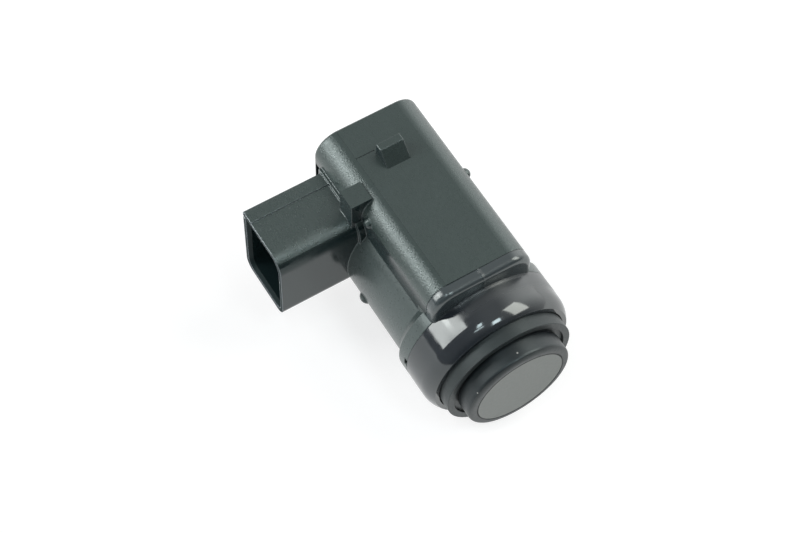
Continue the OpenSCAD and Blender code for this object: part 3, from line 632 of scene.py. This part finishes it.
INSERT_DARK, INSERT_LIGHT = (0.022, 0.022, 0.024), (0.034, 0.034, 0.036)
COVER_DARK, COVER_LIGHT = (0.022, 0.030, 0.029), (0.030, 0.040, 0.038)
insert = moulding("insert_moulding", INSERT_DARK, INSERT_LIGHT, 0.4, 0.2, 0.004)
cover = moulding("cover_moulding", COVER_DARK, COVER_LIGHT, 0.42, 0.22, 0.008)
dress(insert, "terminal_carrier")
dress(cover, "rear_cover")

# %% [markdown]
# ## What lies inside
# Inside sit the transducer, the board and its parts. They don't show from outside, but someone
# may open the model, so each has its own finish. Most are simple mouldings or castings in their
# own colour, so a table of colours, gloss and grain is enough for them.

# %% Castings, ceramics and wire
INSIDE = {
    "piezo_disc": ("fired_piezo", (0.62, 0.54, 0.36), (0.74, 0.67, 0.48), 0.35, 0.1, 0.001),
    "absorber_disc": ("pressed_felt", (0.50, 0.48, 0.43), (0.70, 0.68, 0.63), 0.9, 0.15, 0.05),
    "pot_filler": ("cast_filler", (0.18, 0.07, 0.055), (0.25, 0.11, 0.09), 0.4, 0.8, 0.01),
    "contact_carrier": (
        "carrier_moulding", (0.030, 0.030, 0.033), (0.045, 0.045, 0.048), 0.45, 0.2, 0.005
    ),
    "signal_lead": ("red_sleeving", (0.46, 0.03, 0.022), (0.58, 0.05, 0.04), 0.38, 0.1, 0.002),
    "ground_lead": (
        "black_sleeving", (0.014, 0.014, 0.014), (0.024, 0.024, 0.024), 0.38, 0.1, 0.002
    ),
    "transformer_core": (
        "sintered_ferrite", (0.055, 0.05, 0.05), (0.085, 0.08, 0.08), 0.6, 0.12, 0.01
    ),
    "transformer_bobbin": (
        "bobbin_moulding", (0.48, 0.43, 0.32), (0.58, 0.53, 0.41), 0.45, 0.2, 0.003
    ),
    "potting_fill": ("cast_potting", (0.030, 0.028, 0.026), (0.048, 0.046, 0.042), 0.35, 1.0, 0.02),
}
for piece, recipe in INSIDE.items():
    dress(moulding(*recipe), piece)

# %% [markdown]
# ## Board parts with metal on them
# Chip resistors, capacitors and the diode have tinned ends, the control chip has leads, and the
# storage capacitor is a metal can on a moulded base. Two materials on each would need their faces
# picked out. A mask from the piece's own box or size finds the metal without touching the mesh.


# %% A dull body with tinned metal
def with_metal(name, dark, light, metal_on, metal=(0.62, 0.62, 0.6)):
    """A dull body with tinned metal where the mask says so."""
    made = Finish(name, {})
    mask = metal_on(made)
    dull_body = made.colours(made.clouds(0.6, 3), dark, light)
    made.use(
        Base_Color=made.colours(mask, dull_body, metal),
        Metallic=mask,
        Roughness=made.remap(mask, 0, 1, 0.5, 0.3),
        Normal=made.relief(made.clouds(0.1, 3), 0.003),
    )
    return made


CERAMIC = ((0.36, 0.23, 0.13), (0.46, 0.31, 0.19))
BLACK = ((0.022, 0.022, 0.024), (0.036, 0.036, 0.038))
print("bodies of the board's parts: ceramic", CERAMIC[0], "and black", BLACK[0])

# %% Small parts with two metal ends
CAP = 0.4


def end_caps(piece):
    """Gives the mask of a chip part's two metal ends, from its box."""
    low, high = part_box(piece)
    centre, half = (low.x + high.x) / 2, (high.x - low.x) / 2

    def metal_on(made):
        out = made.calc("ABSOLUTE", made.calc("SUBTRACT", made.axis("X"), centre))
        return made.remap(out, half - (CAP + 0.02) * MM, half - CAP * MM)

    return metal_on


CHIP_PARTS = {
    "tuning_capacitor": CERAMIC,
    "filter_capacitor": CERAMIC,
    "input_resistor": BLACK,
    "damping_resistor": BLACK,
    "protection_diode": BLACK,
}
for piece, (dark, light) in CHIP_PARTS.items():
    dress(with_metal(piece + "_finish", dark, light, end_caps(piece)), piece)

# %% Control chip and storage capacitor
CHIP_HALF, CAN_BASE = 3.75, 0.8
CAN_METAL = (0.66, 0.67, 0.68)


def chip_leads(made):
    """The leads are what stands out beyond the chip's moulded body."""
    out = made.calc("ABSOLUTE", made.axis("X"))
    return made.fade(out, CHIP_HALF, CHIP_HALF + 0.02)


def can_top(made):
    """The can is metal above its moulded base."""
    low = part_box("storage_capacitor")[0].z
    return made.remap(made.axis("Z"), low + CAN_BASE * MM, low + (CAN_BASE + 0.02) * MM)


dress(with_metal("chip_epoxy", *BLACK, chip_leads), "control_chip")
dress(with_metal("drawn_can", *BLACK, can_top, CAN_METAL), "storage_capacitor")

# %% [markdown]
# ## The winding and the board
# The winding is many turns of enamelled wire. Turns could be modelled one by one, but bands of a
# wave along Z give their ridges, and the same bands darken the grooves and lighten the crests as
# painted shade and highlight. The board's green mask is darker between its copper areas: square
# cells draw their outlines, slightly raised.

# %% Copper turns
COPPER_GROOVE_SHADE, COPPER_CREST_HIGHLIGHT = (0.34, 0.12, 0.04), (0.62, 0.27, 0.11)
wire = Finish("enamelled_copper", {"Metallic": 0.8})
wave = {"Vector": wire.place, "Scale": 2200, "Distortion": 0.4}
turns = wire.node("TexWave", wave, bands_direction="Z").outputs["Fac"]
# The turns' grooves are darker and their crests lighter: painted shade and highlight.
wire.use(
    Base_Color=wire.colours(turns, COPPER_GROOVE_SHADE, COPPER_CREST_HIGHLIGHT),
    Roughness=wire.drifting(0.25, 0.4, 0.3, 2),
    Normal=wire.relief(turns, 0.06),
)
dress(wire, "transformer_winding")

# %% Solder mask over copper areas
MASK_DARK, MASK_LIGHT = (0.016, 0.11, 0.045), (0.03, 0.19, 0.085)
green = Finish("solder_mask", {"Specular IOR Level": 0.6})
squares = {"Vector": green.place, "Scale": 420}
cells = green.node("TexVoronoi", squares, distance="CHEBYCHEV", feature="F2")
tracks = green.remap(cells.outputs["Distance"], 0.62, 0.66)
green.use(
    Base_Color=green.colours(tracks, MASK_DARK, MASK_LIGHT),
    Roughness=green.drifting(0.28, 0.4, 0.5),
    Normal=green.relief(tracks, 0.02),
)
dress(green, "circuit_board")

# %% [markdown]
# ## Marks of the moulding
# A moulded part carries traces of its making: a welded seam round the rear cover, the round marks
# of the pins that push it out of the mould, and a stub where the plastic came in. They are small
# raised shapes, so they are real geometry: a flat ring or disc is extruded, its crest is bevelled,
# and it is stood on its wall. A bump in the material would vanish at the outline.


# %% Helpers for small raised shapes
def raise_flat(shape, lift, soften):
    """Extrudes a flat shape upwards and rounds the raised rim."""
    grown = bmesh.ops.extrude_face_region(shape, geom=shape.faces[:])["geom"]
    top = [part for part in grown if isinstance(part, bmesh.types.BMVert)]
    bmesh.ops.translate(shape, verts=top, vec=(0, 0, lift * MM))
    shape.normal_update()
    raised = set(top)
    crest = [e for e in shape.edges if raised.issuperset(e.verts) and e.calc_face_angle(0) > 0.5]
    bmesh.ops.bevel(
        shape, geom=crest, offset=soften * MM,
        segments=3, profile=0.5, affect="EDGES", material=-1,
    )


def stand(shape, across, up, outward, place):
    """Stands a flat shape on a wall: its X, Y and Z become the three directions given."""
    turn = Matrix((across, up, outward)).transposed().to_4x4()
    bmesh.ops.transform(shape, matrix=Matrix.Translation(place) @ turn, verts=shape.verts)


def piece_from(shape, name, finish):
    """Turns a bmesh into a piece that rides on the sensor."""
    bmesh.ops.remove_doubles(shape, verts=shape.verts, dist=1e-7)
    bmesh.ops.recalc_face_normals(shape, faces=shape.faces)
    mesh = bpy.data.meshes.new(name)
    shape.to_mesh(mesh)
    shape.free()
    mesh.materials.append(finish.material)
    made = bpy.data.objects.new(name, mesh)
    scene.collection.objects.link(made)
    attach(made, "root")
    print(name, "with", len(mesh.polygons), "faces")


ON_REAR = ((1, 0, 0), (0, 0, 1), (0, 1, 0))
UNDERNEATH = ((1, 0, 0), (0, -1, 0), (0, 0, -1))
print("marks stand on the rear, facing", ON_REAR[2], "and underneath, facing", UNDERNEATH[2])

# %% [markdown]
# ### The welded seam
# The cover is welded in, which leaves a thin raised ring along its edge. A curve with a round
# section would do, but it has no flat crest. A plate of the cover's outline is inset, its middle
# is taken out, and the ring that is left is raised.

# %% Welded seam round the rear cover
SEAM_WIDTH, SEAM_HEIGHT, SEAM_ROUND = 0.55, 0.22, 0.1
SEAM_MARGIN, CORNER_R = 0.02, 2.6
cover_low, cover_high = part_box("rear_cover")
cover_mid = (cover_low + cover_high) / 2
half = (cover_high - cover_low) / 2
shape = bmesh.new()
bmesh.ops.create_grid(shape, x_segments=1, y_segments=1, size=1)
outline = (half.x - SEAM_MARGIN * MM, half.z - SEAM_MARGIN * MM, 1)
bmesh.ops.scale(shape, verts=shape.verts, vec=outline)
corners = [v for v in shape.verts if v.co.y > 0]
bmesh.ops.bevel(
    shape, geom=corners, offset=CORNER_R * MM,
    segments=10, profile=0.5, affect="VERTICES", material=-1,
)
plate = shape.faces[:]
bmesh.ops.inset_region(
    shape, faces=plate, thickness=SEAM_WIDTH * MM, use_boundary=True, use_even_offset=True
)
bmesh.ops.delete(shape, geom=plate, context="FACES")
raise_flat(shape, SEAM_HEIGHT, SEAM_ROUND)
stand(shape, *ON_REAR, (cover_mid.x, cover_high.y, cover_mid.z))
piece_from(shape, "weld_seam", cover)

# %% [markdown]
# ### Ejector marks and the gate's stub
# Three pins push the cover out of its mould, and each leaves a faint round pad. The housing's
# plastic came in under the barrel, where the cut-off runner leaves a stub out of sight. All are
# discs, so the same helpers make them.

# %% Ejector marks on the cover
MARK_R, MARK_HEIGHT, MARK_ROUND = 1.25, 0.06, 0.03
MARK_PLACES = ((-4.2, 9.6), (4.2, 9.6), (0, -3.2))
for number, (x, z) in enumerate(MARK_PLACES):
    shape = bmesh.new()
    bmesh.ops.create_circle(shape, cap_ends=True, segments=40, radius=MARK_R * MM)
    raise_flat(shape, MARK_HEIGHT, MARK_ROUND)
    stand(shape, *ON_REAR, (x * MM, cover_high.y, z * MM))
    piece_from(shape, f"ejector_mark_{number + 1}", cover)

# %% Stub where the plastic came in, under the barrel
STUB_R, STUB_HEIGHT, STUB_ROUND = 0.7, 0.22, 0.08
STUB_Y, BARREL_BOTTOM = 19, -11.42
shape = bmesh.new()
bmesh.ops.create_circle(shape, cap_ends=True, segments=32, radius=STUB_R * MM)
raise_flat(shape, STUB_HEIGHT, STUB_ROUND)
stand(shape, *UNDERNEATH, (0, STUB_Y * MM, BARREL_BOTTOM * MM))
piece_from(shape, "gate_stub", shell)

# %% Compare the boxes
seen_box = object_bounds()
below, above = cad_box[0] - seen_box[0], seen_box[1] - cad_box[1]
print("grown by mm:", [round(max(pair) / MM, 3) for pair in zip(below, above)])
